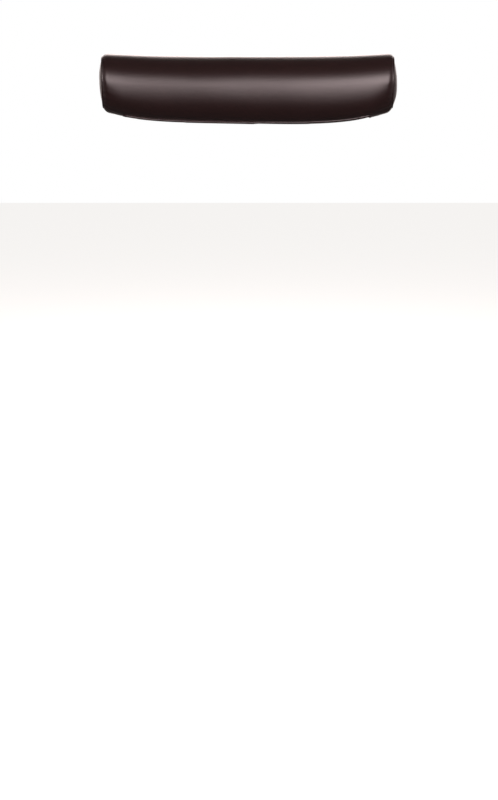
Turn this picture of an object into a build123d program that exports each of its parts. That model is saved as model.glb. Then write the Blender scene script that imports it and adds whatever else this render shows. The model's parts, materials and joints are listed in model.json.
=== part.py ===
"""A full-width bolster headrest for a high-backed chair, in millimetres.

The padded roll has a pocket in its underside that slips over the top edge of the chair's back. Inside the
pocket a steel plate bolts to the chair's back shell and carries two guides; two steel posts hang from the
bar inside the roll and slide in the guides, so the roll can be raised. X runs across the chair, +Y points to
the sitter and +Z up. The origin lies on the plate's front face. Everything is drawn at the lowest position.
"""

import os
from math import sqrt

from build123d import *

os.makedirs("parts", exist_ok=True)

# ---- the roll ----
DEPTH_CENTRE = -4.0  # y of the middle of the roll
CORNER_SHARE = 0.25  # how far the flat of the underside reaches from the middle, per half depth
LIP_RISE = 9.0  # the front lip ends this much above the rear hem
SEAM_X = 237.0  # where the end panels are sewn on
# Each rib of the roll: x, height of the top, widest line, rear hem and half depth.
RIBS = [
    (0, 72.3, 20.0, -31.5, 56.0),
    (85, 73.0, 20.3, -30.6, 55.6),
    (165, 74.2, 21.5, -26.0, 54.5),
    (200, 75.2, 24.0, -20.5, 52.5),
    (224, 76.0, 28.0, -16.0, 49.0),
    (SEAM_X, 73.0, 34.9, -3.2, 42.0),
]

# ---- the layers, as depths under the leather's outer face ----
LEATHER = 1.4
LAYER_GAP = 0.3
WADDING = 4.0
WADDING_TOP = LEATHER + LAYER_GAP
WADDING_BOTTOM = WADDING_TOP + WADDING
FOAM_TOP = WADDING_BOTTOM + LAYER_GAP
DOME_HEIGHT = 6.8
PIPING_R = 2.2
HEM_R = 1.6

# ---- the pocket and its liner ----
POCKET_X = 200.0
POCKET_REAR = -27.0
POCKET_FRONT = 16.0
POCKET_TOP = 22.0
LINER = 2.5
RIM_DEPTH = 4.0  # the liner's rim stops this far inside the leather's outer face
TOWER_R = 14.5
TOWER_BORE_R = 12.0
BOSS_R = 4.5
BOSS_X = [-180, -40, 40, 180]
CLIP_THICK = 1.2
CLIP_HEIGHT = 13.0
CLIP_X = 190.0
CLIP_RISE = 4.5
HEM_X = 196.0

# ---- the bar and the end boards ----
BAR_X = 218.0
BAR_WIDE = 30.0
BAR_THICK = 4.0
BAR_LOW = 44.5
TAB_LOW = 15.0
BOARD_THICK = 12.0
TAB_SCREW_Z = [23.0, 38.0]

# ---- the posts and guides ----
POST_X = 85.0
POST_Y = -13.5
POST_R = 6.0
TRAVEL = 40.0
RUNNING = 0.05
HIDDEN_GAP = 0.3
SPIGOT_R = 4.0
SPIGOT_TOP = 58.0
NUT_FLATS = 13.0
NUT_HIGH = 6.5
WASHER_R = 8.0
WASHER_THICK = 1.6
BUSH_LOW = 26.0
BUSH_TOP = 42.0
COLLAR_TOP = 44.0
COLLAR_R = 11.0
GUIDE_BORE_R = 8.5
NECK_R = 10.0
GUIDE_R = 10.5
GUIDE_TOP = 18.0
GUIDE_LOW = -27.0
FOOT_TOP = BUSH_LOW - TRAVEL
FOOT_HIGH = 11.0
RING_Z = 33.0
RING_HIGH = 2.0
RING_R = 7.1
RING_PLAY = 0.2
RING_SLIT = 2.0
FOOT_CHAMFER = 1.0
POST_PLACES = [(-POST_X, POST_Y), (POST_X, POST_Y)]
BOSS_PLACES = [(x, POST_Y) for x in BOSS_X]

# ---- the plate ----
PLATE_X = 140.0
PLATE_LOW = -27.0
PLATE_TOP = 20.0
PLATE_THICK = 3.0
BOLT_X = 125.0
BOLT_Z = -10.0
BOLT_ROWS = 20.0
BOLT_HOLE_R = 3.3
EAR_X = 19.0
EAR_THICK = 7.0
EAR_SCREW_X = 14.0
EAR_SCREW_Z = [-19.0, 9.0]
PLATE_CORNER_R = 5.0
RIGHT_EAR_SCREWS = [(POST_X + dx, z) for dx in (-EAR_SCREW_X, EAR_SCREW_X) for z in EAR_SCREW_Z]
EAR_SCREWS = RIGHT_EAR_SCREWS + [(-x, z) for x, z in RIGHT_EAR_SCREWS]

# ---- fasteners ----
SCREW_R = 2.0
SCREW_HEAD_R = 4.0
SCREW_FIT = 0.05
SCREW_HEAD_HIGH = 2.4
SOCKET_R = 1.5
SOCKET_DEEP = 1.3
EDGE_BREAK = 0.5
SCREW_SUNK = 0.2  # how far a countersunk head lies under the surface
TIP_GAP = 1.0  # from a screw's tip to the end of its hole, and from there to the other face
LOOSE = 0.2  # radial clearance of a clearance hole
HEX = 6
SIDES = {"left": -1, "right": 1}


def save(part, name):
    """Label one finished piece and write it."""
    part.label = name
    export_step(part, f"parts/{name}.step")


def rib_outline(rib, inset):
    """Draw one rib's closed outline in the BuildLine that is open, shrunk by inset."""
    x, top, wide, hem, half_depth = rib
    flat = CORNER_SHARE * half_depth
    corner = half_depth - flat
    to_hem = (DEPTH_CENTRE - flat - (POCKET_REAR - LINER)) / corner
    drop = (wide - hem) / (sqrt(1 - to_hem**2) if x <= POCKET_X else 1)
    front_drop = drop - (LIP_RISE if x <= POCKET_X else 0)
    rear_y, front_y = DEPTH_CENTRE - flat, DEPTH_CENTRE + flat
    EllipticalCenterArc((DEPTH_CENTRE, wide), half_depth - inset, top - wide - inset, 0, arc_size=180)
    EllipticalCenterArc((rear_y, wide), corner - inset, drop - inset, 180, arc_size=90)
    Line((rear_y, wide - drop + inset), (front_y, wide - front_drop + inset))
    EllipticalCenterArc((front_y, wide), corner - inset, front_drop - inset, 270, arc_size=90)


def roll(inset, half_length):
    """The whole roll, shrunk evenly by inset and cut off square at both ends."""
    with BuildPart() as solid:
        ribs = [(-x, *rest) for x, *rest in reversed(RIBS[1:])] + RIBS
        for x, *rest in ribs:
            with BuildSketch(Plane.YZ.offset(x)):
                with BuildLine():
                    rib_outline((abs(x), *rest), inset)
                make_face()
        loft(ruled=True)
        with BuildSketch(Plane.YZ.offset(-half_length)):
            Rectangle(4 * SEAM_X, 4 * SEAM_X)
        extrude(amount=2 * half_length, mode=Mode.INTERSECT)
    return solid.part


def end_dome(inset, start, rise):
    """A low dome on the right end's outline, from x = start, its crown rise further out."""
    steps = [(0, 0), (0.55, 0.08), (0.88, 0.3), (1, 0.62)]
    _, _, _, _, half_depth = RIBS[-1]
    least = (1 - CORNER_SHARE) * half_depth
    with BuildPart() as dome:
        for height, narrowing in steps:
            with BuildSketch(Plane.YZ.offset(start + rise * height)):
                with BuildLine():
                    rib_outline(RIBS[-1], inset + narrowing * (least - inset))
                make_face()
        loft(ruled=True)
    return dome.part


def slot(clearance):
    """The space of the pocket, open downwards, widened by clearance all round."""
    rear, front = POCKET_REAR - clearance, POCKET_FRONT + clearance
    top = POCKET_TOP + clearance
    low = 2 * RIBS[0][3]
    with BuildPart() as space:
        with BuildSketch(Plane.XY.offset(low)):
            with Locations((0, (rear + front) / 2)):
                Rectangle(2 * (POCKET_X + clearance), front - rear)
        extrude(amount=top - low)
    return space.part


def hem_line(end, rise):
    """The rear hem's line seen from behind, from one side to the other, raised by rise."""
    ribs = [(x, hem) for x, _, _, hem, _ in RIBS]
    points = []
    for (x, z), (next_x, next_z) in zip(ribs, ribs[1:]):
        if x < end:
            points.append((x, z + rise))
        if x < end <= next_x:
            points.append((end, z + (next_z - z) * (end - x) / (next_x - x) + rise))
    return [(-x, z) for x, z in reversed(points[1:])] + points


def mirrored(part, side):
    """The right-hand piece, or its mirror image for the left."""
    return part if side > 0 else mirror(part, about=Plane.YZ)


# ==== mount: bolted to the chair back ====

with BuildPart() as mount_plate:
    with BuildSketch(Plane.XZ):
        with Locations((0, (PLATE_LOW + PLATE_TOP) / 2)):
            RectangleRounded(2 * PLATE_X, PLATE_TOP - PLATE_LOW, PLATE_CORNER_R)
    extrude(amount=PLATE_THICK)
    chamfer(mount_plate.faces().filter_by(Axis.Y).edges(), EDGE_BREAK)
    with Locations(Plane((0, 0, BOLT_Z), x_dir=(1, 0, 0), z_dir=(0, 1, 0))):
        with GridLocations(2 * BOLT_X, BOLT_ROWS, 2, 2):
            Hole(BOLT_HOLE_R)
    for x, z in EAR_SCREWS:
        with Locations(Plane((x, 0, z), z_dir=(0, 1, 0))):
            CounterSinkHole(SCREW_R + SCREW_FIT, SCREW_HEAD_R + SCREW_FIT)
save(mount_plate.part, "mount_plate")

with BuildPart() as guide_right:
    # the round guide, flattened against the plate
    with BuildSketch(Plane.XY.offset(GUIDE_LOW)):
        with Locations((POST_X, POST_Y)):
            Circle(GUIDE_R)
        with Locations((POST_X, (POST_Y - PLATE_THICK) / 2)):
            Rectangle(2 * GUIDE_R, -PLATE_THICK - POST_Y)
        with Locations((POST_X, -PLATE_THICK - EAR_THICK / 2)):
            Rectangle(2 * EAR_X, EAR_THICK)
    extrude(amount=GUIDE_TOP - GUIDE_LOW)
    # the neck that reaches up into the roll
    with BuildSketch(Plane.XY.offset(GUIDE_TOP)):
        with Locations((POST_X, POST_Y)):
            Circle(NECK_R)
    extrude(amount=BUSH_TOP - GUIDE_TOP)
    with BuildSketch(Plane.XY.offset(GUIDE_LOW)):
        with Locations((POST_X, POST_Y)):
            Circle(GUIDE_BORE_R)
    extrude(amount=BUSH_TOP - GUIDE_LOW, mode=Mode.SUBTRACT)
    for x, z in RIGHT_EAR_SCREWS:
        with Locations(Plane((x, -PLATE_THICK, z), z_dir=(0, 1, 0))):
            Hole(SCREW_R + SCREW_FIT, depth=EAR_THICK - TIP_GAP)

with BuildPart() as bush_right:
    with BuildSketch(Plane.XY.offset(BUSH_LOW)):
        with Locations((POST_X, POST_Y)):
            Circle(GUIDE_BORE_R - SCREW_FIT)
    extrude(amount=BUSH_TOP - BUSH_LOW)
    with BuildSketch(Plane.XY.offset(BUSH_TOP)):
        with Locations((POST_X, POST_Y)):
            Circle(COLLAR_R)
    extrude(amount=COLLAR_TOP - BUSH_TOP)
    with BuildSketch(Plane.XY.offset(BUSH_LOW)):
        with Locations((POST_X, POST_Y)):
            Circle(POST_R + RUNNING)
    extrude(amount=COLLAR_TOP - BUSH_LOW, mode=Mode.SUBTRACT)
    with BuildSketch(Plane.XY.offset(RING_Z - RING_PLAY)):
        with Locations((POST_X, POST_Y)):
            Circle(RING_R + RING_PLAY)
    extrude(amount=RING_HIGH + 2 * RING_PLAY, mode=Mode.SUBTRACT)

with BuildPart() as ring_right:
    with BuildSketch(Plane.XY.offset(RING_Z)):
        with Locations((POST_X, POST_Y)):
            Circle(RING_R)
            Circle(POST_R + RUNNING, mode=Mode.SUBTRACT)
        # the gap that lets the ring spring open
        with Locations((POST_X, POST_Y - RING_R)):
            Rectangle(RING_SLIT, RING_R, mode=Mode.SUBTRACT)
    extrude(amount=RING_HIGH)

with BuildPart() as housing_screws:
    with BuildSketch(Plane.XZ.offset(SCREW_SUNK)):
        with Locations(*EAR_SCREWS):
            Circle(SCREW_R)
    extrude(amount=PLATE_THICK + EAR_THICK - 2 * TIP_GAP - SCREW_SUNK)
    with BuildSketch(Plane.XZ.offset(SCREW_SUNK)):
        with Locations(*EAR_SCREWS):
            Circle(SCREW_HEAD_R - SCREW_SUNK)
    extrude(amount=SCREW_HEAD_R - SCREW_SUNK - SCREW_R, taper=45)
    with BuildSketch(Plane.XZ.offset(SCREW_SUNK)):
        with Locations(*EAR_SCREWS):
            RegularPolygon(SOCKET_R, HEX)
    extrude(amount=SOCKET_DEEP, mode=Mode.SUBTRACT)
save(housing_screws.part, "housing_screws")

# ==== headrest: the roll and what it is built on ====

bar_front = POST_Y + BAR_WIDE / 2
bar_top = BAR_LOW + BAR_THICK

with BuildPart() as frame_bar:
    with BuildSketch(Plane.XZ.offset(-bar_front)) as bar_profile:
        with Locations((0, (TAB_LOW + bar_top) / 2)):
            Rectangle(2 * BAR_X, bar_top - TAB_LOW)
        fillet(bar_profile.vertices().group_by(Axis.Y)[-1], 2 * BAR_THICK)
        with Locations((0, (TAB_LOW + BAR_LOW) / 2)):
            Rectangle(2 * (BAR_X - BAR_THICK), BAR_LOW - TAB_LOW, mode=Mode.SUBTRACT)
    extrude(amount=BAR_WIDE)
    chamfer(frame_bar.faces().filter_by(Axis.Y).edges(), EDGE_BREAK)
    with Locations(Plane((0, POST_Y, bar_top))):
        with GridLocations(2 * POST_X, 0, 2, 1):
            Hole(SPIGOT_R + LOOSE, depth=BAR_THICK)
        for x in BOSS_X:
            with Locations((x, 0)):
                Hole(SCREW_R + SCREW_FIT, depth=BAR_THICK)
    for z in TAB_SCREW_Z:
        with Locations(Plane((BAR_X, POST_Y, z), z_dir=(1, 0, 0))):
            Hole(SCREW_R + SCREW_FIT)
save(frame_bar.part, "frame_bar")

with BuildPart() as post_right:
    for low, high, radius in (
        (FOOT_TOP - FOOT_HIGH + FOOT_CHAMFER, FOOT_TOP, SPIGOT_R),
        (FOOT_TOP, BAR_LOW, POST_R),
        (BAR_LOW, SPIGOT_TOP, SPIGOT_R),
    ):
        with BuildSketch(Plane.XY.offset(low)):
            with Locations((POST_X, POST_Y)):
                Circle(radius)
        extrude(amount=high - low)

with BuildPart() as foot_right:
    with BuildSketch(Plane.XY.offset(FOOT_TOP - FOOT_HIGH)):
        with Locations((POST_X, POST_Y)):
            Circle(GUIDE_BORE_R - RUNNING)
            Circle(SPIGOT_R + RUNNING, mode=Mode.SUBTRACT)
    extrude(amount=FOOT_HIGH)
    chamfer(foot_right.faces().sort_by(Axis.Z)[0].outer_wire().edges(), FOOT_CHAMFER)

with BuildPart() as post_washers:
    with BuildSketch(Plane.XY.offset(bar_top)):
        with Locations(*POST_PLACES):
            Circle(WASHER_R)
            Circle(SPIGOT_R + LOOSE, mode=Mode.SUBTRACT)
    extrude(amount=WASHER_THICK)
save(post_washers.part, "post_washers")

with BuildPart() as post_nuts:
    with BuildSketch(Plane.XY.offset(bar_top + WASHER_THICK)):
        with Locations(*POST_PLACES):
            RegularPolygon(NUT_FLATS / 2, HEX, major_radius=False)
            Circle(SPIGOT_R + RUNNING, mode=Mode.SUBTRACT)
    extrude(amount=NUT_HIGH)
save(post_nuts.part, "post_nuts")

with BuildPart() as board_right:
    with BuildSketch(Plane.YZ.offset(BAR_X)):
        with BuildLine():
            rib_outline(RIBS[-1], FOAM_TOP)
        make_face()
    extrude(amount=BOARD_THICK)
    for z in TAB_SCREW_Z:
        with Locations(Plane((BAR_X, POST_Y, z), z_dir=(-1, 0, 0))):
            Hole(SCREW_R + SCREW_FIT, depth=BOARD_THICK - TIP_GAP)

with BuildPart() as disc_screws:
    for side in SIDES.values():
        plane = Plane((side * (BAR_X - BAR_THICK), POST_Y, 0), x_dir=(0, 1, 0), z_dir=(side, 0, 0))
        places = [(0, side * z) for z in TAB_SCREW_Z]
        with BuildSketch(plane):
            with Locations(*places):
                Circle(SCREW_R)
        extrude(amount=BAR_THICK + BOARD_THICK - 2 * TIP_GAP)
        with BuildSketch(plane):
            with Locations(*places):
                Circle(SCREW_HEAD_R)
        extrude(amount=-SCREW_HEAD_HIGH)
save(disc_screws.part, "disc_screws")

with BuildPart() as pocket_trough:
    add(slot(LINER))
    add(slot(0), mode=Mode.SUBTRACT)
    add(roll(RIM_DEPTH, SEAM_X), mode=Mode.INTERSECT)
    # towers round the guides' necks, and bosses for the screws, all up to the bar
    with BuildSketch(Plane.XY.offset(POCKET_TOP)):
        with Locations(*POST_PLACES):
            Circle(TOWER_R)
        with Locations(*BOSS_PLACES):
            Circle(BOSS_R)
    extrude(amount=BAR_LOW - POCKET_TOP)
    with BuildSketch(Plane.XY.offset(POCKET_TOP)):
        with Locations(*POST_PLACES):
            Circle(TOWER_BORE_R)
    extrude(amount=BAR_LOW - POCKET_TOP, mode=Mode.SUBTRACT)
    with Locations(Plane((0, POST_Y, BAR_LOW))):
        for x in BOSS_X:
            with Locations((x, 0)):
                Hole(SCREW_R + SCREW_FIT, depth=BAR_LOW - POCKET_TOP - LINER)
save(pocket_trough.part, "pocket_trough")

with BuildPart() as trough_screws:
    for low, high, radius in (
        (POCKET_TOP + LINER + TIP_GAP, bar_top, SCREW_R),
        (bar_top, bar_top + SCREW_HEAD_HIGH, SCREW_HEAD_R),
    ):
        with BuildSketch(Plane.XY.offset(low)):
            with Locations(*BOSS_PLACES):
                Circle(radius)
        extrude(amount=high - low)
save(trough_screws.part, "trough_screws")

with BuildPart() as foam_roll:
    add(roll(FOAM_TOP, BAR_X - HIDDEN_GAP))
    add(slot(LINER + HIDDEN_GAP), mode=Mode.SUBTRACT)
    # room for the towers and bosses, for the bar with its tabs, and for the nuts above it
    with BuildSketch(Plane.XY.offset(POCKET_TOP)):
        with Locations(*POST_PLACES):
            Circle(TOWER_R + HIDDEN_GAP)
        with Locations(*BOSS_PLACES):
            Circle(BOSS_R + HIDDEN_GAP)
    extrude(amount=BAR_LOW - POCKET_TOP, mode=Mode.SUBTRACT)
    with BuildSketch(Plane.XY.offset(BAR_LOW - HIDDEN_GAP)):
        with Locations((0, POST_Y)):
            Rectangle(2 * BAR_X, BAR_WIDE + 2 * HIDDEN_GAP)
    extrude(amount=BAR_THICK + 2 * HIDDEN_GAP, mode=Mode.SUBTRACT)
    tab_room = BAR_THICK + SCREW_HEAD_HIGH + HIDDEN_GAP
    with BuildSketch(Plane.XY.offset(TAB_LOW - HIDDEN_GAP)):
        with Locations((tab_room / 2 - BAR_X, POST_Y), (BAR_X - tab_room / 2, POST_Y)):
            Rectangle(tab_room, BAR_WIDE + 2 * HIDDEN_GAP)
    extrude(amount=bar_top - TAB_LOW, mode=Mode.SUBTRACT)
    with BuildSketch(Plane.XY.offset(bar_top)):
        with Locations(*POST_PLACES):
            Circle(WASHER_R + HIDDEN_GAP)
    extrude(amount=SPIGOT_TOP + HIDDEN_GAP - bar_top, mode=Mode.SUBTRACT)
    with BuildSketch(Plane.XY.offset(bar_top)):
        with Locations(*BOSS_PLACES):
            Circle(SCREW_HEAD_R + HIDDEN_GAP)
    extrude(amount=SCREW_HEAD_HIGH + HIDDEN_GAP, mode=Mode.SUBTRACT)
save(foam_roll.part, "foam_roll")

with BuildPart() as wadding_wrap:
    add(roll(WADDING_TOP, BAR_X + BOARD_THICK))
    add(roll(WADDING_BOTTOM, SEAM_X), mode=Mode.SUBTRACT)
    add(slot(LINER + HIDDEN_GAP), mode=Mode.SUBTRACT)
save(wadding_wrap.part, "wadding_wrap")

with BuildPart() as leather_sleeve:
    add(roll(0, SEAM_X - PIPING_R))
    add(roll(LEATHER, SEAM_X), mode=Mode.SUBTRACT)
    add(slot(LINER + HIDDEN_GAP), mode=Mode.SUBTRACT)
save(leather_sleeve.part, "leather_sleeve")

# the domed end panel, the pad that fills it and the cord in its seam
panel_start = SEAM_X + PIPING_R
end_pad = end_dome(FOAM_TOP, BAR_X + BOARD_THICK, panel_start + DOME_HEIGHT - FOAM_TOP - BAR_X - BOARD_THICK)
with BuildPart() as end_panel:
    add(end_dome(0, panel_start, DOME_HEIGHT))
    add(end_dome(LEATHER, panel_start, DOME_HEIGHT - LEATHER), mode=Mode.SUBTRACT)
with BuildPart() as end_piping:
    with BuildLine(Plane.YZ.offset(SEAM_X)) as seam:
        rib_outline(RIBS[-1], PIPING_R / 2)
    with BuildSketch(Plane(seam.line @ 0, z_dir=seam.line % 0)):
        Circle(PIPING_R - LAYER_GAP / 2)
    sweep()

# the cord in the rear hem, one straight run between each pair of ribs
hem_y = POCKET_REAR - LINER
with BuildPart() as hem_piping:
    with BuildLine(Plane.XZ.offset(-hem_y)) as hem_path:
        Polyline(hem_line(HEM_X, -HEM_R))
    with BuildSketch(Plane(hem_path.line @ 0, z_dir=hem_path.line % 0)):
        Circle(HEM_R)
    sweep(transition=Transition.ROUND)
save(hem_piping.part, "hem_piping")

for name, wall_y, facing, rise in (
    ("edge_clip_rear", POCKET_REAR, 1, 0),
    ("edge_clip_front", POCKET_FRONT, -1, LIP_RISE),
):
    # a flat strip on the liner's inner face, following the rim
    lower = hem_line(CLIP_X, CLIP_RISE + rise)
    upper = hem_line(CLIP_X, CLIP_RISE + rise + CLIP_HEIGHT)
    with BuildPart() as clip:
        with BuildSketch(Plane.XZ.offset(-wall_y)):
            with BuildLine():
                Polyline(lower + upper[::-1], close=True)
            make_face()
        extrude(amount=-facing * CLIP_THICK)
    save(clip.part, name)

for side_name, side in SIDES.items():
    save(mirrored(guide_right.part, side), f"guide_housing_{side_name}")
    save(mirrored(bush_right.part, side), f"guide_bush_{side_name}")
    save(mirrored(ring_right.part, side), f"friction_ring_{side_name}")
    save(mirrored(post_right.part, side), f"post_{side_name}")
    save(mirrored(foot_right.part, side), f"post_foot_{side_name}")
    save(mirrored(board_right.part, side), f"end_disc_{side_name}")
    save(mirrored(end_pad, side), f"end_pad_{side_name}")
    save(mirrored(end_panel.part, side), f"leather_end_{side_name}")
    save(mirrored(end_piping.part, side), f"end_piping_{side_name}")
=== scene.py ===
# %% [markdown]
# # A leather bolster headrest for a high-backed chair
#
# The headrest is a long padded roll. Its pocket slips over the top edge of a chair's back, where a steel
# plate carries it on two sliding posts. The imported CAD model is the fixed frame: everything hard in it stays,
# and gets a better finish, while the leather, wadding and foam are made here in the space their solids hold.

import json
import math

import bmesh
import bpy
import numpy as np
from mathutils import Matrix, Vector, noise


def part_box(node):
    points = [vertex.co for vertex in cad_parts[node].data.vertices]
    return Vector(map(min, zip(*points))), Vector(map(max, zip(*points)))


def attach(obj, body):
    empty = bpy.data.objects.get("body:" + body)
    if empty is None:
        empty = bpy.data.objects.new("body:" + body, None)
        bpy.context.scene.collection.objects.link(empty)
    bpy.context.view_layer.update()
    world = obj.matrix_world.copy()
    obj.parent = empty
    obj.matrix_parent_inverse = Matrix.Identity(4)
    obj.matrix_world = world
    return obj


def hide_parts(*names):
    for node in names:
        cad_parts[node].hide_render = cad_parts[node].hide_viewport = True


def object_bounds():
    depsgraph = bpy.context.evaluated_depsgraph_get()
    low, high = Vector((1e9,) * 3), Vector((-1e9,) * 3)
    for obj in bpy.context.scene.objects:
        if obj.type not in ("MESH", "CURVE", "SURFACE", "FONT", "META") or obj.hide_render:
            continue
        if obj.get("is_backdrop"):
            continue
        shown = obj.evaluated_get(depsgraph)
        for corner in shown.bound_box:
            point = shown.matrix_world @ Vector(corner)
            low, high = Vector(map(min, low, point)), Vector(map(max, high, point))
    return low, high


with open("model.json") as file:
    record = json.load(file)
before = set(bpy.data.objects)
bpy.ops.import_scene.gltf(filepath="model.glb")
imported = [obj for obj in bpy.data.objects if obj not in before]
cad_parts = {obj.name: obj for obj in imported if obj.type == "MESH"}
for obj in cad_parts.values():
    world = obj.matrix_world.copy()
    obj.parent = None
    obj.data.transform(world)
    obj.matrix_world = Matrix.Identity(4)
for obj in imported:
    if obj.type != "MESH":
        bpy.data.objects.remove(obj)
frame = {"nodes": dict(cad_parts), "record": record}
cad_low, cad_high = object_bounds()
MM = 0.001
HEAD = "headrest"
print("CAD box", [round(x / MM) for x in cad_high - cad_low], "mm")

# %% [markdown]
# ## Where the camera stands
#
# The chair stands on the floor and the camera is a little lower than its headrest, about two metres behind
# it, and looks down at the seat. The headrest is therefore near the top of the picture, seen from just below.

# %% Camera, floor and room
DISTANCE = 1.985
CAMERA_RISE = -0.099
CAMERA_PITCH = 11.50
CAMERA_SIDE = 0.002
LENS = 52.3
FLOOR_Z = -1.144
ROOM = 30.0


def srgb(hex_colour):
    """A hex colour as the linear numbers that a shader wants."""
    parts = [int(hex_colour[i : i + 2], 16) / 255 for i in (1, 3, 5)]
    return [p / 12.92 if p <= 0.04045 else ((p + 0.055) / 1.055) ** 2.4 for p in parts] + [1.0]


def add_node(tree, kind, settings=(), inputs=(), links=()):
    """One shader node with its settings, its input values and its incoming links."""
    node = tree.nodes.new(kind)
    for name, value in dict(settings).items():
        setattr(node, name, value)
    for name, value in dict(inputs).items():
        node.inputs[name].default_value = value
    for name, source in dict(links).items():
        tree.links.new(source, node.inputs[name])
    return node


def new_material(name):
    """An empty material with its output and its shader."""
    material = bpy.data.materials.new(name)
    material.use_nodes = True
    tree = material.node_tree
    tree.nodes.clear()
    shader = add_node(tree, "ShaderNodeBsdfPrincipled")
    add_node(tree, "ShaderNodeOutputMaterial", links={"Surface": shader.outputs["BSDF"]})
    return material, tree, shader


def mesh_object(name, points, faces, materials=()):
    """A mesh object from points in metres and faces as lists of point numbers."""
    mesh = bpy.data.meshes.new(name)
    mesh.from_pydata([tuple(p) for p in points], [], [tuple(int(i) for i in f) for f in faces])
    mesh.update()
    for polygon in mesh.polygons:
        polygon.use_smooth = True
    made = bpy.data.objects.new(name, mesh)
    bpy.context.scene.collection.objects.link(made)
    for material in materials:
        mesh.materials.append(material)
    return made


camera_data = bpy.data.cameras.new("camera")
camera_data.lens = LENS
camera_data.sensor_width = 36.0
camera = bpy.data.objects.new("camera", camera_data)
camera.location = (CAMERA_SIDE, -DISTANCE, CAMERA_RISE)
camera.rotation_euler = (math.radians(90 - CAMERA_PITCH), 0, 0)
bpy.context.scene.collection.objects.link(camera)
bpy.context.scene.camera = camera

# %% Floor
FLOOR_GLOW = 0.88
pale_floor, tree, shader = new_material("backlit_white_acrylic_floor")
grain = add_node(tree, "ShaderNodeTexNoise", inputs={"Scale": 3.0, "Detail": 4.0})
tint = add_node(tree, "ShaderNodeMapRange", links={"Value": grain.outputs["Fac"]})
tint.inputs["To Min"].default_value = 0.5
tint.inputs["To Max"].default_value = 0.6
tree.links.new(tint.outputs["Result"], shader.inputs["Roughness"])
shader.inputs["Base Color"].default_value = srgb("#f1f0ee")
shader.inputs["Emission Color"].default_value = srgb("#fbfaf8")
shader.inputs["Emission Strength"].default_value = FLOOR_GLOW
corners = [(-ROOM, -ROOM, FLOOR_Z), (ROOM, -ROOM, FLOOR_Z), (ROOM, ROOM, FLOOR_Z), (-ROOM, ROOM, FLOOR_Z)]
floor = mesh_object("floor", corners, [(0, 1, 2, 3)], [pale_floor])
floor.visible_diffuse = False
floor.visible_glossy = False
floor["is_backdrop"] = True

# %% [markdown]
# ## Light
#
# Smooth leather is read from what it mirrors: one long band of light with a crisp upper edge that fades
# downwards. A wide softbox behind the camera, brightest along its middle and to the right, makes that band.
# A weaker one on the sitter's side draws the thin rim of light along the top of the roll, and one at each
# side shows the end panels. They are glowing panels rather than lamps, because a panel's glow can fade
# across it, and the camera doesn't see them. The room looks white, but lights the leather only a little, so
# that its dark brown stays deep. The floor glows like backlit acrylic and throws no light on the leather.

# %% Softboxes and room light
WORLD_SEEN = 1.0
WORLD_LIGHT = 0.07
BOX_AWAY = 3.2
BOX_HALF = 2.4
BOX_LOW, BOX_HIGH = -2.4, 4.8
SOFT_GLOW = [(0.0, 0.05), (0.175, 0.16), (0.316, 0.52), (0.45, 1.0), (0.553, 0.93), (0.647, 0.33)]
SOFT_GLOW += [(0.75, 0.05), (1.0, 0.0)]
EVEN = [(0.0, 0.0), (0.5, 1.0), (1.0, 0.0)]
REAR_ACROSS = [(0.0, 0.0), (0.15, 1.0), (0.28, 0.9), (0.37, 0.16), (0.46, 0.16), (0.52, 0.29), (0.6, 0.86)]
REAR_ACROSS += [(0.7, 1.0), (0.85, 1.0), (1.0, 0.0)]
bpy.context.scene.view_settings.view_transform = "Standard"


def fading(tree, source, stops):
    """A value that follows source smoothly through (place, value) stops."""
    ramp = add_node(tree, "ShaderNodeValToRGB", links={"Fac": source})
    ramp.color_ramp.interpolation = "EASE"
    for place, _ in stops[1:-1]:
        ramp.color_ramp.elements.new(place)
    for element, (place, value) in zip(ramp.color_ramp.elements, stops):
        element.position = place
        element.color = (value, value, value, 1)
    return ramp.outputs["Color"]


def softbox(name, turn, glow, across, colour):
    """An upright glowing panel. Turn says in quarter turns from which side it faces the roll."""
    material = bpy.data.materials.new(name)
    material.use_nodes = True
    tree = material.node_tree
    tree.nodes.clear()
    place = add_node(tree, "ShaderNodeTexCoord").outputs["Generated"]
    axes = add_node(tree, "ShaderNodeSeparateXYZ", links={"Vector": place})
    up = fading(tree, axes.outputs["Z"], SOFT_GLOW)
    side = fading(tree, axes.outputs["Y" if turn % 2 else "X"], across)
    share = add_node(tree, "ShaderNodeMath", {"operation": "MULTIPLY"}, links={0: up, 1: side})
    strength = add_node(tree, "ShaderNodeMath", {"operation": "MULTIPLY"}, {1: glow})
    emission = add_node(tree, "ShaderNodeEmission", inputs={"Color": srgb(colour)})
    tree.links.new(share.outputs["Value"], strength.inputs[0])
    tree.links.new(strength.outputs["Value"], emission.inputs["Strength"])
    add_node(tree, "ShaderNodeOutputMaterial", links={"Surface": emission.outputs["Emission"]})
    cos, sin = math.cos(turn * math.pi / 2), math.sin(turn * math.pi / 2)
    corners = []
    for x, z in ((-BOX_HALF, BOX_LOW), (BOX_HALF, BOX_LOW), (BOX_HALF, BOX_HIGH), (-BOX_HALF, BOX_HIGH)):
        corners.append((cos * x + sin * BOX_AWAY, sin * x - cos * BOX_AWAY, z))
    panel = mesh_object(name, corners, [(0, 1, 2, 3)], [material])
    panel.visible_camera = False
    panel.visible_shadow = False
    panel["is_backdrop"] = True


softbox("rear_softbox", 0, 6.4, REAR_ACROSS, "#ffebec")
softbox("right_softbox", 1, 1.1, EVEN, "#ffebec")
softbox("front_softbox", 2, 3.8, EVEN, "#ffefeb")
softbox("left_softbox", 3, 1.1, EVEN, "#ffebec")

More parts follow.
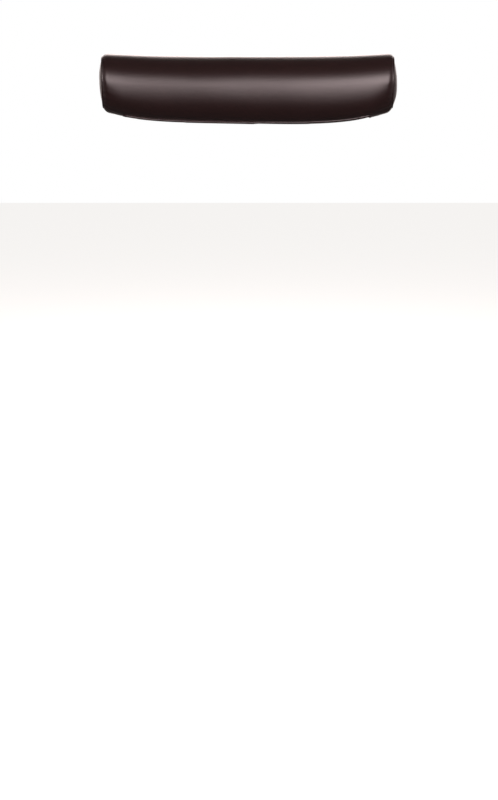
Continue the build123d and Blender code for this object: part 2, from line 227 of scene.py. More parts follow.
world = bpy.data.worlds.new("white_room")
world.use_nodes = True
bpy.context.scene.world = world
room = world.node_tree
room.nodes.clear()
seen = add_node(room, "ShaderNodeBackground", inputs={"Color": srgb("#ffffff"), "Strength": WORLD_SEEN})
lit = add_node(room, "ShaderNodeBackground", inputs={"Color": srgb("#ffeeee"), "Strength": WORLD_LIGHT})
path = add_node(room, "ShaderNodeLightPath")
mix = add_node(room, "ShaderNodeMixShader", links={"Fac": path.outputs["Is Camera Ray"]})
room.links.new(lit.outputs["Background"], mix.inputs[1])
room.links.new(seen.outputs["Background"], mix.inputs[2])
add_node(room, "ShaderNodeOutputWorld", links={"Surface": mix.outputs["Shader"]})

# %% [markdown]
# ## The shape of the roll
#
# Leather and wadding follow one shape: a bolster that is slightly waisted along its top, hangs lower in
# the middle than at its ends, and rounds off quickly into the end seams. One function gives the outline of a
# slice at any place along it, so leather and wadding can't cross.

# %% Slices of the roll
seam_low, seam_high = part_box("end_piping_right")
trough_low, trough_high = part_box("pocket_trough")
# the seam's line lies just inside the cord's top, and outside its solid at the sides and below
CORD_TOP_INSIDE = 1.0 * MM
CORD_SIDES_OUTSIDE = 4.5 * MM
CORD_BOTTOM_OUTSIDE = 5.0 * MM
SEAM_X = (seam_low.x + seam_high.x) / 2
SEAM_TOP, SEAM_BOTTOM = seam_high.z - CORD_TOP_INSIDE, seam_low.z - CORD_BOTTOM_OUTSIDE
SEAM_HALF = (seam_high.y - seam_low.y) / 2 + CORD_SIDES_OUTSIDE
CENTRE_Y = (seam_high.y + seam_low.y) / 2
POCKET_X, REAR_Y, FRONT_Y = trough_high.x, trough_low.y, trough_high.y
TOP_MIDDLE = 72.8 * MM
TOP_RISE = 5.0 * MM
HEM_MIDDLE = -35.0 * MM
HEM_RISE = 20.2 * MM
HEM_SKEW = 1.6 * MM
WIDEST = 20.0 * MM
WIDEST_RISE = 10.0 * MM
HALF_DEPTH = 56.0 * MM
END_SLIMMER = 5.0 * MM
ROUND_OFF_TOP = 10.0 * MM
ROUND_OFF_BELOW = 9.0 * MM
SEAM_CUP = 3.5 * MM
CUP_REACH = 60 * MM
CORNER = 0.25
LIP_RISE = 9.0 * MM
END_PULL = 0.35
PULL_REACH = 40 * MM
LEATHER = 1.4 * MM


def ease_out(t):
    """A quarter circle: steep at 0 and level at 1."""
    return math.sqrt(1 - (1 - min(max(t, 0.0), 1.0)) ** 2)


def ease_both(t):
    """From 0 to 1, level at both ends."""
    t = min(max(t, 0.0), 1.0)
    return t * t * (3 - 2 * t)


def blend(a, b, t):
    return a + (b - a) * t


def rib(x):
    """Top, widest line, rear hem and half depth of the slice at x."""
    u = min(abs(x) / SEAM_X, 1.0)
    round_off = ease_out((SEAM_X - abs(x)) / ROUND_OFF_TOP)
    top = blend(SEAM_TOP, TOP_MIDDLE + TOP_RISE * u**3, round_off)
    skew = HEM_SKEW * math.sin(math.pi * max(-1.0, min(x / SEAM_X, 1.0)))
    round_below = ease_out((SEAM_X - abs(x)) / ROUND_OFF_BELOW)
    hem = blend(SEAM_BOTTOM, HEM_MIDDLE + HEM_RISE * u**4 - skew, round_below)
    half = blend(SEAM_HALF, HALF_DEPTH - END_SLIMMER * u**4, round_off)
    seam_widest = (SEAM_TOP + SEAM_BOTTOM) / 2
    widest = blend(seam_widest, WIDEST + WIDEST_RISE * u**4, round_off)
    return top, widest, hem, half


def spaced(line, count):
    """The same line with count points at equal steps along it."""
    steps = np.linalg.norm(np.diff(line, axis=0), axis=1)
    along = np.concatenate([[0], np.cumsum(steps)])
    wanted = np.linspace(0, along[-1], count)
    return np.column_stack([np.interp(wanted, along, line[:, k]) for k in range(line.shape[1])])


def slice_parts(x, inset):
    """The slice's outline (y, z) in two parts: over the top, from front lip to rear hem, and back under."""
    top, widest, hem, half = rib(x)
    flat = CORNER * half
    corner = half - flat
    drop = widest - hem
    front_drop = drop - LIP_RISE * (1 - ease_both((abs(x) - POCKET_X) / (SEAM_X - POCKET_X)))
    rear_y, front_y = CENTRE_Y - flat, CENTRE_Y + flat
    pull = END_PULL * max(0.0, 1 - (SEAM_X - abs(x)) / PULL_REACH) ** 2
    wide, high = half - inset, top - widest - inset

    def lower_quarter(depth):
        """From the widest line down, as (out, down): an arc, drawn towards its chord near the ends."""
        places = []
        for a in np.linspace(0, math.pi / 2, 91):
            share = (1 - math.cos(a) + math.sin(a)) / 2
            out = (corner - inset) * blend(math.cos(a), 1 - share, pull)
            places.append((out, (depth - inset) * blend(math.sin(a), share, pull)))
        return places

    front = [(front_y + out, widest - down) for out, down in lower_quarter(front_drop)[::-1]]
    turns = np.linspace(0, math.pi, 181)
    over = [(CENTRE_Y + wide * math.cos(a), widest + high * math.sin(a)) for a in turns]
    rear = [(rear_y - out, widest - down) for out, down in lower_quarter(drop)]
    loop = np.array(front + over[1:] + rear[1:])
    start = int(np.argmax(loop[:, 0] > FRONT_Y))
    stop = len(loop) - int(np.argmax(loop[::-1, 0] < REAR_Y))
    return loop[start:stop], np.vstack([loop[stop - 1 :], loop[: start + 1]])


for x in (0, 0.1, 0.2, SEAM_X):
    top, widest, hem, half = rib(x)
    print(f"slice at {x / MM:5.0f} mm: top {top / MM:5.1f}, hem {hem / MM:6.1f}, depth {2 * half / MM:5.1f}")

# %% [markdown]
# ## Leather
#
# Upholstery leather of this kind is finished hide: fine pebbled grain pressed into a pigmented, lightly
# lacquered face. The grain is too fine to see from two metres, but it spreads the highlight. Cells of about
# 1 mm make the pebbles, a finer noise makes the pores, and broad faint patches vary the colour and gloss.
# The lacquer is the shader's coat: it adds a second, slightly sharper highlight over the pigment's own.

# %% Leather material
PEBBLE = 1.1 * MM
PORE = 0.5 * MM
CREASE = 18 * MM
PATCHES_PER_METRE = 14.0
LEATHER_ROUGHNESS = 0.34
GLOSS_SPREAD = 0.04
leather, tree, shader = new_material("pigmented_brown_leather")
place = add_node(tree, "ShaderNodeTexCoord").outputs["Object"]
here = {"Vector": place}
patches = add_node(tree, "ShaderNodeTexNoise", inputs={"Scale": PATCHES_PER_METRE, "Detail": 3.0}, links=here)
colour = add_node(tree, "ShaderNodeMix", {"data_type": "RGBA"}, links={"Factor": patches.outputs["Fac"]})
colour.inputs["A"].default_value = srgb("#1f0f0e")
colour.inputs["B"].default_value = srgb("#281514")
pebbles = add_node(tree, "ShaderNodeTexVoronoi", {"feature": "DISTANCE_TO_EDGE"}, links=here)
pebbles.inputs["Scale"].default_value = 1 / PEBBLE
pebbles.inputs["Randomness"].default_value = 0.9
pores = add_node(tree, "ShaderNodeTexNoise", inputs={"Scale": 1 / PORE, "Detail": 2.0}, links=here)
creases = add_node(tree, "ShaderNodeTexNoise", inputs={"Scale": 1 / CREASE, "Detail": 4.0}, links=here)
rounded = add_node(tree, "ShaderNodeMapRange", links={"Value": pebbles.outputs["Distance"]})
rounded.inputs["From Max"].default_value = 0.18
height = add_node(tree, "ShaderNodeMath", {"operation": "MULTIPLY_ADD"}, {1: 0.35})
tree.links.new(pores.outputs["Fac"], height.inputs[0])
tree.links.new(rounded.outputs["Result"], height.inputs[2])
grain_bump = add_node(tree, "ShaderNodeBump", inputs={"Strength": 0.5, "Distance": 0.06 * MM})
tree.links.new(height.outputs["Value"], grain_bump.inputs["Height"])
crease_bump = add_node(tree, "ShaderNodeBump", inputs={"Strength": 0.25, "Distance": 0.5 * MM})
tree.links.new(creases.outputs["Fac"], crease_bump.inputs["Height"])
tree.links.new(grain_bump.outputs["Normal"], crease_bump.inputs["Normal"])
gloss = add_node(tree, "ShaderNodeMapRange", links={"Value": patches.outputs["Fac"]})
gloss.inputs["To Min"].default_value = LEATHER_ROUGHNESS - GLOSS_SPREAD
gloss.inputs["To Max"].default_value = LEATHER_ROUGHNESS + GLOSS_SPREAD
tree.links.new(colour.outputs["Result"], shader.inputs["Base Color"])
tree.links.new(gloss.outputs["Result"], shader.inputs["Roughness"])
tree.links.new(crease_bump.outputs["Normal"], shader.inputs["Normal"])
shader.inputs["Coat Weight"].default_value = 0.8
shader.inputs["Coat Roughness"].default_value = 0.3
print("grain cells of", PEBBLE / MM, "mm, creases of", CREASE / MM, "mm")

# %% [markdown]
# ## The leather sleeve
#
# The sleeve is cut as one flat piece, wrapped over the wadding and sewn to the end panels. Its edges turn
# up round the liner's rim into the pocket. It is made as a grid of slices. The grid lines run where the
# pocket's edges do, so the slot is simply the faces left out, and its border carries on as the turned edge.

# %% Grid of the sleeve
OVER = 97  # points over the top of a slice
UNDER = 15  # and back under it
LEVEL_REACH = 15 * MM
# each step of the turned edge as (inwards, up), in millimetres from the slot's border
TURNED_EDGE = [(1.2, -0.6), (2.5, -0.4), (3.4, 0.6), (3.7, 2.2), (3.7, 4.4)]


def stations(end):
    """Places along the roll from end to end: even over the pocket, closer where the roll rounds off."""
    inner = np.linspace(0, POCKET_X, 42)
    outer = POCKET_X + (end - POCKET_X) * np.sin(np.linspace(0, math.pi / 2, 17))[1:]
    half = np.concatenate([inner, outer])
    return np.concatenate([-half[:0:-1], half])


def cupped(x, y):
    """The end seam is drawn in a little at its rear and front."""
    near_end = max(0.0, 1 - (SEAM_X - abs(x)) / CUP_REACH)
    return x - math.copysign(SEAM_CUP * near_end**2 * ((y - CENTRE_Y) / SEAM_HALF) ** 2, x)


def wrapped_layer(inset, end):
    """A layer wrapped round the roll, as one sheet with the pocket's slot left out below.
    Returns its points, its faces and the slot's border, each border point with its way inwards."""
    xs = stations(end)
    around = OVER + UNDER
    points, faces, border = [], [], {}
    for x in xs:
        over, under = slice_parts(x, inset)
        for y, z in np.vstack([spaced(over, OVER), spaced(under, UNDER + 2)[1:-1]]):
            points.append((cupped(x, y), y, z))
    slot_xs = [i for i, x in enumerate(xs) if abs(x) <= POCKET_X + 1e-6]
    for i in range(len(xs) - 1):
        for j in range(around):
            if j >= OVER - 1 and i in slot_xs and i + 1 in slot_xs:
                continue
            k = (j + 1) % around
            faces.append((i * around + j, i * around + k, (i + 1) * around + k, (i + 1) * around + j))
    first, last = slot_xs[0], slot_xs[-1]
    rear = [(i * around + OVER - 1, (0, 1)) for i in slot_xs]
    right = [(last * around + j, (-1, 0)) for j in range(OVER, around)]
    front = [(i * around, (0, -1)) for i in reversed(slot_xs)]
    left = [(first * around + j, (1, 0)) for j in range(around - 1, OVER - 1, -1)]
    border = rear + right + front + left
    for corner, way in ((0, (1, 1)), (len(rear) - 1, (-1, 1))):
        border[corner] = (border[corner][0], way)
    start = len(rear) + len(right)
    border[start] = (border[start][0], (-1, -1))
    border[start + len(front) - 1] = (border[start + len(front) - 1][0], (1, -1))
    return points, faces, border


def turn_in(points, faces, border, steps):
    """Carry the slot's border on as a turned edge. It never hangs below the underside at the slot's ends."""
    previous = [n for n, _ in border]
    for inward, up in steps:
        row = []
        for n, (dx, dy) in border:
            x, y, z = points[n]
            level = 1 if dx else 1 - ease_both((POCKET_X - abs(x)) / LEVEL_REACH)
            rise = blend(up, max(up, 0.3 * inward), level)
            row.append(len(points))
            points.append((x + dx * inward * MM, y + dy * inward * MM, z + rise * MM))
        for a in range(len(row)):
            b = (a + 1) % len(row)
            faces.append((previous[a], previous[b], row[b], row[a]))
        previous = row


def drop_loose(made):
    """Delete the points that no face uses, which lie inside the slot."""
    shape = bmesh.new()
    shape.from_mesh(made.data)
    loose = [v for v in shape.verts if not v.link_faces]
    bmesh.ops.delete(shape, geom=loose, context="VERTS")
    shape.to_mesh(made.data)
    shape.free()


def thicken(made, thickness, smooth_levels):
    """Smooth a sheet and give it its thickness, inwards."""
    smooth = made.modifiers.new("smooth", "SUBSURF")
    smooth.levels = smooth.render_levels = smooth_levels
    solid = made.modifiers.new("thickness", "SOLIDIFY")
    solid.thickness = thickness
    solid.offset = -1


def write_points(made, points):
    made.data.vertices.foreach_set("co", np.asarray(points, dtype=np.float32).ravel())
    made.data.update()


def read_points(made):
    """The object's points as modifiers leave them."""
    seen_now = made.evaluated_get(bpy.context.evaluated_depsgraph_get())
    flat = np.empty(3 * len(seen_now.data.vertices), dtype=np.float32)
    seen_now.data.vertices.foreach_get("co", flat)
    return flat.reshape(-1, 3)


# %% [markdown]
# ## Filling it out
#
# A stuffed cover bulges between its seams. Cloth simulation gives that: the sheet is held along its seams and
# blown up by a little pressure, with no gravity. Left free, such fine cloth creases, and firm leather over
# wadding doesn't, so only the outward part of the movement is kept, limited, and averaged between neighbours.

# %% Cloth filling
FILL_PRESSURE = 4.0
FILL_MOST = 0.8 * MM
IRONINGS = 12


def ironed(made, moved, held, passes):
    """Average each point's movement with its neighbours', so that no fine creases stay."""
    ends = np.empty(2 * len(made.data.edges), dtype=np.int32)
    made.data.edges.foreach_get("vertices", ends)
    a, b = ends.reshape(-1, 2).T
    near = np.bincount(ends, minlength=len(moved))[:, None]
    for _ in range(passes):
        total = np.zeros_like(moved)
        np.add.at(total, a, moved[b])
        np.add.at(total, b, moved[a])
        moved = (moved + total / np.maximum(near, 1)) / 2
        moved[held] = 0
    return moved


def fill_out(made, sewn):
    """Blow a sewn sheet up as cloth held where it is sewn, and keep only its movement outwards."""
    held = made.vertex_groups.new(name="sewn")
    held.add([int(n) for n in sewn], 1.0, "REPLACE")
    start = read_points(made)
    outwards = np.array([n.vector for n in made.data.vertex_normals])
    cloth = made.modifiers.new("filling", "CLOTH")
    cloth.settings.quality = 6
    cloth.settings.mass = 0.5
    cloth.settings.tension_stiffness = 40
    cloth.settings.compression_stiffness = 40
    cloth.settings.bending_stiffness = 8
    cloth.settings.vertex_group_mass = "sewn"
    cloth.settings.use_pressure = True
    cloth.settings.uniform_pressure_force = FILL_PRESSURE
    cloth.settings.effector_weights.gravity = 0
    cloth.collision_settings.use_collision = False
    for step in range(1, 21):
        bpy.context.scene.frame_set(step)
    moved = read_points(made) - start
    made.modifiers.remove(cloth)
    made.vertex_groups.remove(held)
    moved -= outwards * np.minimum(0, (moved * outwards).sum(axis=1, keepdims=True))
    length = np.linalg.norm(moved, axis=1, keepdims=True)
    moved *= np.minimum(1, FILL_MOST / np.maximum(length, 1e-9))
    write_points(made, start + ironed(made, moved, list(sewn), IRONINGS))
    bpy.context.scene.frame_set(1)
    print(made.name, "moved by up to", round(float(length.max()) / MM, 1), "mm, kept to", FILL_MOST / MM)


# %% [markdown]
# ## Gathers
#
# Where the sleeve is eased onto the smaller end panels, it gathers: short radial folds that are deepest at
# the low corners and die out within a few centimetres. A sine round the seam makes them, and a smooth noise
# makes them uneven and adds the hide's slight waves.

# %% Gathers at the end seams
GATHERS = 34
WAVE_LENGTH = 70 * MM
WAVE_HEIGHT = 0.35 * MM


def gathered(x, y, z):
    """How far the gathers at the end seams and the hide's slight waves push a point outwards."""
    from_seam = SEAM_X - abs(x)
    angle = math.atan2(z - (SEAM_TOP + SEAM_BOTTOM) / 2, y - CENTRE_Y)
    uneven = noise.noise(Vector((2.5 * math.cos(angle), 2.5 * math.sin(angle), 40 * x)))
    low_corner = max(0.0, -math.sin(angle))
    # the folds are deepest and longest at the low corners
    depth = (0.22 + 0.45 * low_corner + 0.3 * abs(uneven)) * MM
    reach = (6 + 13 * low_corner + 5 * abs(uneven)) * MM
    fold = depth * math.sin(GATHERS * angle + 5 * uneven) * math.exp(-((from_seam / reach) ** 2))
    wave = WAVE_HEIGHT * noise.noise(Vector((x, 1.6 * y, 1.6 * z)) / WAVE_LENGTH)
    return fold + wave


def gather(made, first, last):
    """Push the points from number first up to last in and out by the gathers."""
    points = read_points(made)
    for n in range(first, last):
        x, y, z = points[n]
        out = Vector((0, y - CENTRE_Y, z - WIDEST)).normalized() * gathered(x, y, z)
        points[n] += np.array(out)
    write_points(made, points)


# %% Sleeve
points, faces, border = wrapped_layer(0, SEAM_X)
around = OVER + UNDER
rings = len(stations(SEAM_X))
sewn = list(range(around)) + list(range((rings - 1) * around, rings * around))
sheet_count = len(points)
turn_in(points, faces, border, TURNED_EDGE)
sewn += [n for n, _ in border] + list(range(sheet_count, len(points)))
sleeve = mesh_object("leather_sleeve_skin", points, faces, [leather])
fill_out(sleeve, sewn)
gather(sleeve, 0, sheet_count)

# %% The stitched line above each hem
STITCH_DROP = 0.4 * MM
THREAD_RISE = 0.15 * MM
STITCHED_X = POCKET_X - 8 * MM
points = read_points(sleeve)
stitch_rows = {"rear": [], "front": []}
for i in range(rings):
    if abs(points[i * around][0]) > STITCHED_X:
        continue
    for row, j, beyond in (("rear", OVER - 2, OVER - 3), ("front", 1, 2)):
        n, m = i * around + j, i * around + beyond
        along = Vector(points[m]) - Vector(points[n])
        inwards = Vector((0, along.z, -along.y)).normalized() * (1 if row == "rear" else -1)
        if inwards.z < 0:
            inwards.negate()
        points[n] += np.array(inwards * STITCH_DROP)
        stitch_rows[row].append(Vector(points[n]) - inwards * THREAD_RISE)
write_points(sleeve, points)
drop_loose(sleeve)
thicken(sleeve, LEATHER, 1)
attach(sleeve, HEAD)
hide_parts("leather_sleeve")
print("sleeve:", len(sleeve.data.vertices), "points,", rings, "rings")

# %% [markdown]
# ## End panels, piping and welt
#
# A domed panel closes each end. It is sewn to the sleeve with a piping cord in the seam, and a thinner welt
# finishes the rear hem. Cords are tubes swept along the roll's own outline, so they stay in their seams.

# %% Cords
PIPING_R = 1.9 * MM
PIPING_INSET = 0.9 * MM
PANEL_INSET = 0.6 * MM


def tube(line, radius, closed, sides=12):
    """The points and faces of a round cord along a line."""
    line = [Vector(p) for p in line]
    count = len(line)
    points, faces = [], []
    across = Vector((0, 0, 1))
    for i, p in enumerate(line):
        before = line[i - 1] if closed or i else p
        after = line[(i + 1) % count] if closed or i < count - 1 else p
        along = (after - before).normalized()
        if abs(across.dot(along)) > 0.95:
            across = Vector((0, 1, 0))
        across = (across - along * across.dot(along)).normalized()
        other = along.cross(across)
        for k in range(sides):
            turn = 2 * math.pi * k / sides
            points.append(p + radius * (math.cos(turn) * across + math.sin(turn) * other))
    for i in range(count if closed else count - 1):
        for k in range(sides):
            a, b = i * sides + k, i * sides + (k + 1) % sides
            c, d = ((i + 1) % count) * sides + (k + 1) % sides, ((i + 1) % count) * sides + k
            faces.append((a, b, c, d))
    if not closed:
        faces.append(tuple(range(sides))[::-1])
        faces.append(tuple(range((count - 1) * sides, count * sides)))
    return points, faces


def cord_piece(name, line, radius, closed, replaced):
    """A leather-covered cord that stands for one CAD node."""
    points, faces = tube(line, radius, closed)
    cord = mesh_object(name, points, faces, [leather])
    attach(cord, HEAD)
    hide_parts(replaced)


def seam_ring(side, inset, count):
    """The end seam's line, with side 1 for the right end and -1 for the left."""
    over, under = slice_parts(SEAM_X, inset)
    ring = np.vstack([spaced(over, count), spaced(under, count // 3)[1:-1]])
    return [(side * cupped(SEAM_X, y), y, z) for y, z in ring]


# %% End panels and their piping
DOME = {"left": 7.5 * MM, "right": 9.0 * MM}
# how far above or below the seam's middle each dome is fullest
FULLEST = {"left": 5 * MM, "right": -9 * MM}
DOME_START = 0.6 * MM
PANEL_RINGS = 16
for side_name, side in (("left", -1), ("right", 1)):
    ring = seam_ring(side, PANEL_INSET, 120)
    middle = Vector((side * SEAM_X, CENTRE_Y, (SEAM_TOP + SEAM_BOTTOM) / 2 + FULLEST[side_name]))
    points, faces = [], []
    for r in range(PANEL_RINGS):
        share = 1 - r / PANEL_RINGS
        bulge = DOME_START + (DOME[side_name] - DOME_START) * (1 - share**2)
        for p in ring:
            place = middle.lerp(Vector(p), share)
            points.append((place.x + side * bulge, place.y, place.z))
    points.append((middle.x + side * DOME[side_name], middle.y, middle.z))
    n = len(ring)
    for r in range(PANEL_RINGS - 1):
        for j in range(n):
            k = (j + 1) % n
            quad = (r * n + j, r * n + k, (r + 1) * n + k, (r + 1) * n + j)
            faces.append(quad if side > 0 else quad[::-1])
    last = (PANEL_RINGS - 1) * n
    for j in range(n):
        tri = (last + j, last + (j + 1) % n, len(points) - 1)
        faces.append(tri if side > 0 else tri[::-1])
    panel = mesh_object(f"end_panel_{side_name}", points, faces, [leather])
    fill_out(panel, range(n))
    thicken(panel, LEATHER, 1)
    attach(panel, HEAD)
    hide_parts(f"leather_end_{side_name}")
    cord_line = seam_ring(side, PIPING_INSET, 150)
    cord_piece(f"seam_piping_{side_name}", cord_line, PIPING_R, True, f"end_piping_{side_name}")

# %% Welt along the rear hem
WELT_R = 2.0 * MM
WELT_X = POCKET_X + 1.5 * MM
WELT_BEHIND = 1.4 * MM
WELT_BELOW = 0.9 * MM
TUCKED = 1.8 * MM  # how much higher the welt is sewn along its right half
DIVE = 4.0 * MM  # how far its ends turn in
DIVE_REACH = 6.5 * MM
welt_line = []
for x in np.linspace(-WELT_X, WELT_X, 160):
    over, _ = slice_parts(x, 0)
    y, z = over[-1]
    tuck = TUCKED * ease_out((x - 10 * MM) / (60 * MM))
    dive = DIVE * ease_both((abs(x) - WELT_X + DIVE_REACH) / DIVE_REACH)
    welt_line.append((cupped(x, y), y - WELT_BEHIND + dive, z - WELT_BELOW + tuck))
cord_piece("hem_welt", welt_line, WELT_R, False, "hem_piping")

# %% [markdown]
# ## Stitches
#
# The hems are held by a row of lockstitches in bonded polyester thread, each about 4 mm long, sunk into the
# leather. Every stitch is a short bent tube whose ends dive into the hide, all joined in one piece.

# %% Stitch rows
STITCH = 4.0 * MM
THREAD_R = 0.35 * MM
thread, tree, shader = new_material("bonded_polyester_thread")
shader.inputs["Base Color"].default_value = srgb("#3a2420")
shader.inputs["Roughness"].default_value = 0.5
shader.inputs["Sheen Weight"].default_value = 0.3
place = add_node(tree, "ShaderNodeTexCoord").outputs["Object"]
twist = add_node(
    tree, "ShaderNodeTexWave", {"bands_direction": "DIAGONAL"}, {"Scale": 1 / (4 * MM)}, {"Vector": place}
)
ply = add_node(tree, "ShaderNodeBump", inputs={"Strength": 0.4, "Distance": 0.1 * MM})
tree.links.new(twist.outputs["Fac"], ply.inputs["Height"])
tree.links.new(ply.outputs["Normal"], shader.inputs["Normal"])
for row, line in stitch_rows.items():
    line = np.array(line)
    length = np.linalg.norm(np.diff(line, axis=0), axis=1).sum()
    count = int(length / STITCH)
    places = spaced(line, 5 * count + 1)
    points, faces = [], []
    for n in range(count):
        bent = []
        for k, dive in enumerate((-0.7, 0.25, 0.45, 0.25, -0.7)):
            p = Vector(places[5 * n + k])
            bent.append(p - Vector((0, 0, dive * MM)))
        made_points, made_faces = tube(bent, THREAD_R, False, sides=6)
        faces += [tuple(i + len(points) for i in f) for f in made_faces]
        points += made_points
    stitches = mesh_object(f"hem_stitches_{row}", points, faces, [thread])
    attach(stitches, HEAD)
    print(row, "hem:", count, "stitches")

# %% [markdown]
# ## Wadding and foam
#
# Under the leather lies a wrap of polyester wadding, and under that a block of cut polyurethane foam with
# room for the liner and the bar. The wadding is one more layer of the roll's shape, made lumpy. The foam has
# cut-outs on every side, so it starts from the solid's own mesh, remeshed in small cells and softened.

# %% Foam and wadding materials


def soft_material(name, colour, shade, cell, depth, sheen):
    """A matt, cellular or fibrous filling."""
    material, tree, shader = new_material(name)
    place = add_node(tree, "ShaderNodeTexCoord").outputs["Object"]
    cells = add_node(tree, "ShaderNodeTexVoronoi", inputs={"Scale": 1 / cell}, links={"Vector": place})
    clouds = add_node(
        tree, "ShaderNodeTexNoise", inputs={"Scale": 1 / (25 * MM), "Detail": 5.0}, links={"Vector": place}
    )
    colours = add_node(tree, "ShaderNodeMix", {"data_type": "RGBA"}, links={"Factor": clouds.outputs["Fac"]})
    colours.inputs["A"].default_value = srgb(colour)
    colours.inputs["B"].default_value = srgb(shade)
    bump = add_node(tree, "ShaderNodeBump", inputs={"Strength": 0.6, "Distance": depth})
    tree.links.new(cells.outputs["Distance"], bump.inputs["Height"])
    tree.links.new(bump.outputs["Normal"], shader.inputs["Normal"])
    tree.links.new(colours.outputs["Result"], shader.inputs["Base Color"])
    shader.inputs["Roughness"].default_value = 0.95
    shader.inputs["Sheen Weight"].default_value = sheen
    return material


foam = soft_material("cut_polyurethane_foam", "#d9cfa8", "#cbbf93", 0.9 * MM, 0.3 * MM, 0.0)
wadding = soft_material("polyester_wadding", "#efeee8", "#e2e1da", 2.5 * MM, 0.8 * MM, 0.4)

# %% Wadding
WADDING_INSET = 2.6 * MM
WADDING_THICK = 2.8 * MM
WADDING_SHORT = 4 * MM
LUMP = 14 * MM
LUMP_DEPTH = 0.5 * MM
points, faces, _ = wrapped_layer(WADDING_INSET, SEAM_X - WADDING_SHORT)
wrap = mesh_object("wadding_layer", points, faces, [wadding])
lumpy = read_points(wrap)
for n, p in enumerate(lumpy):
    towards = Vector((0, CENTRE_Y - p[1], WIDEST - p[2])).normalized()
    lumpy[n] += np.array(towards * LUMP_DEPTH * (1 + noise.noise(Vector(p) / LUMP)))
write_points(wrap, lumpy)
drop_loose(wrap)
thicken(wrap, WADDING_THICK, 0)
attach(wrap, HEAD)
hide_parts("wadding_wrap")

# %% Foam
for node, name, cell in (
    ("foam_roll", "foam_core", 3 * MM),
    ("end_pad_left", "foam_end_left", 2 * MM),
    ("end_pad_right", "foam_end_right", 2 * MM),
):
    block = bpy.data.objects.new(name, frame["nodes"][node].data.copy())
    bpy.context.scene.collection.objects.link(block)
    remesh = block.modifiers.new("cells", "REMESH")
    remesh.mode = "VOXEL"
    remesh.voxel_size = cell
    remesh.use_smooth_shade = True
    soften = block.modifiers.new("soften", "SMOOTH")
    soften.iterations = 3
    cut = bpy.data.meshes.new_from_object(block.evaluated_get(bpy.context.evaluated_depsgraph_get()))
    block.modifiers.clear()
    block.data = cut
    cut.materials.clear()
    cut.materials.append(foam)
    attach(block, HEAD)
    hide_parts(node)
    print(name, len(cut.vertices), "points")

# %% [markdown]
# ## Metals
#
# The plate and the bar are mild steel, powder-coated black, which leaves a fine orange peel. Screws, nuts and
# washers are bright zinc plated, a little cloudy. The posts are drawn bar, ground and hard chromed, so they
# mirror almost sharply, with the faintest lines along their length.

# %% Metal materials
CLOUD = 20 * MM


def bumped(name, colour, metallic, roughness, spread, grain, depth, stretch=(1, 1, 1)):
    """A hard finish: a noise with grains of that real size makes the bump and varies the roughness."""
    material, tree, shader = new_material(name)
    place = add_node(tree, "ShaderNodeTexCoord").outputs["Object"]
    here = {"Vector": place}
    sized = add_node(tree, "ShaderNodeMapping", inputs={"Scale": [s / grain for s in stretch]}, links=here)
    there = {"Vector": sized.outputs["Vector"]}
    fine = add_node(tree, "ShaderNodeTexNoise", inputs={"Scale": 1.0, "Detail": 2.0}, links=there)
    broad = add_node(tree, "ShaderNodeTexNoise", inputs={"Scale": 1 / CLOUD, "Detail": 3.0}, links=here)
    gloss = add_node(tree, "ShaderNodeMapRange", links={"Value": broad.outputs["Fac"]})
    gloss.inputs["To Min"].default_value = roughness - spread
    gloss.inputs["To Max"].default_value = roughness + spread
    bump = add_node(tree, "ShaderNodeBump", inputs={"Strength": 0.5, "Distance": depth})
    tree.links.new(fine.outputs["Fac"], bump.inputs["Height"])
    tree.links.new(bump.outputs["Normal"], shader.inputs["Normal"])
    tree.links.new(gloss.outputs["Result"], shader.inputs["Roughness"])
    shader.inputs["Base Color"].default_value = srgb(colour)
    shader.inputs["Metallic"].default_value = metallic
    return material


finishes = {
    "painted_steel": bumped("black_powder_coated_steel", "#1b1b1d", 0.0, 0.42, 0.05, 1.2 * MM, 0.08 * MM),
    "plated_steel": bumped("bright_zinc_plated_steel", "#c4c8cc", 1.0, 0.3, 0.08, 0.5 * MM, 0.01 * MM),
    "chromed_steel": bumped(
        "hard_chromed_ground_steel", "#dcdfe3", 1.0, 0.1, 0.03, 0.4 * MM, 0.004 * MM, (1, 1, 0.02)
    ),
}

# %% [markdown]
# ## Plastics and plywood
#
# The pocket liner is moulded polypropylene with a spark-eroded grain; the guides and edge clips are moulded
# nylon, a shade greyer and smoother; bushes and feet are turned acetal, milky white and slippery, with fine
# turning rings. The end boards are birch plywood: thin plies of light and dark show on their sawn edges.

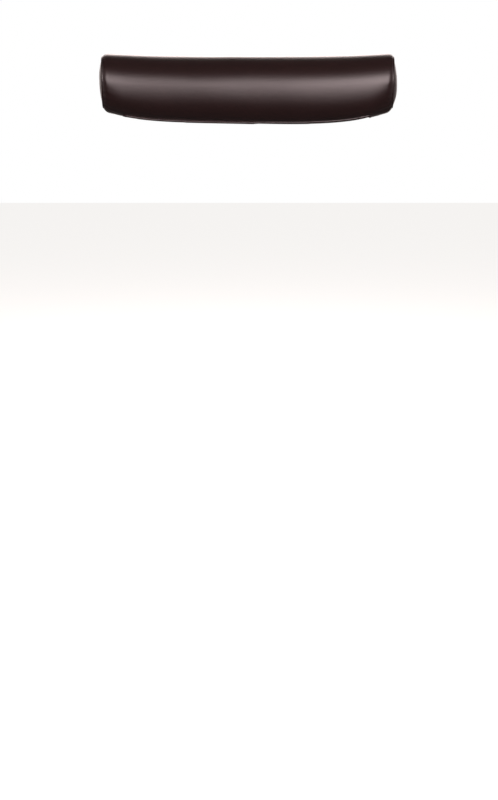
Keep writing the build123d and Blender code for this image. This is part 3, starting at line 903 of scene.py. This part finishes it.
# %% Plastic materials
finishes |= {
    "liner_plastic": bumped("spark_grained_polypropylene", "#28292c", 0.0, 0.58, 0.04, 0.6 * MM, 0.05 * MM),
    "nylon": bumped("moulded_grey_nylon", "#3b3d40", 0.0, 0.42, 0.05, 2.0 * MM, 0.02 * MM),
    "acetal": bumped(
        "turned_white_acetal", "#e8e5dc", 0.0, 0.34, 0.04, 0.5 * MM, 0.02 * MM, (0.05, 0.05, 1)
    ),
}

# %% Plywood
PLY = 1.4 * MM
STREAK_WIDE, STREAK_LONG = 3 * MM, 60 * MM
plywood, tree, shader = new_material("sawn_birch_plywood")
place = add_node(tree, "ShaderNodeTexCoord").outputs["Object"]
axes = add_node(tree, "ShaderNodeSeparateXYZ", links={"Vector": place})
plies = add_node(tree, "ShaderNodeMath", {"operation": "PINGPONG"}, {1: PLY}, {0: axes.outputs["X"]})
which = add_node(tree, "ShaderNodeMath", {"operation": "GREATER_THAN"}, {1: PLY / 2})
tree.links.new(plies.outputs["Value"], which.inputs[0])
long_grain = add_node(tree, "ShaderNodeMapping", links={"Vector": place})
long_grain.inputs["Scale"].default_value = (1 / STREAK_WIDE, 1 / STREAK_WIDE, 1 / STREAK_LONG)
streaks = add_node(tree, "ShaderNodeTexNoise", inputs={"Scale": 1.0, "Detail": 4.0})
tree.links.new(long_grain.outputs["Vector"], streaks.inputs["Vector"])
sawn = add_node(tree, "ShaderNodeMix", {"data_type": "RGBA"}, links={"Factor": which.outputs["Value"]})
sawn.inputs["A"].default_value = srgb("#d8bb8a")
sawn.inputs["B"].default_value = srgb("#a97f4f")
toned = add_node(tree, "ShaderNodeMix", {"data_type": "RGBA", "blend_type": "MULTIPLY"}, {"Factor": 0.5})
tree.links.new(sawn.outputs["Result"], toned.inputs["A"])
tree.links.new(streaks.outputs["Color"], toned.inputs["B"])
tree.links.new(toned.outputs["Result"], shader.inputs["Base Color"])
shader.inputs["Roughness"].default_value = 0.75
finishes["plywood"] = plywood

# %% Every carried-over piece gets its finish
for part in frame["record"]["subparts"]:
    finish = finishes.get(part["material_slot"])
    if finish:
        for place in frame["nodes"][part["node"]].material_slots:
            place.material = finish

# %% Sizes
new_low, new_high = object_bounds()
for axis, low, high, cad_a, cad_b in zip("xyz", new_low, new_high, cad_low, cad_high):
    print(axis, f"{low / MM:7.1f} to {high / MM:6.1f} mm, CAD {cad_a / MM:7.1f} to {cad_b / MM:6.1f} mm")
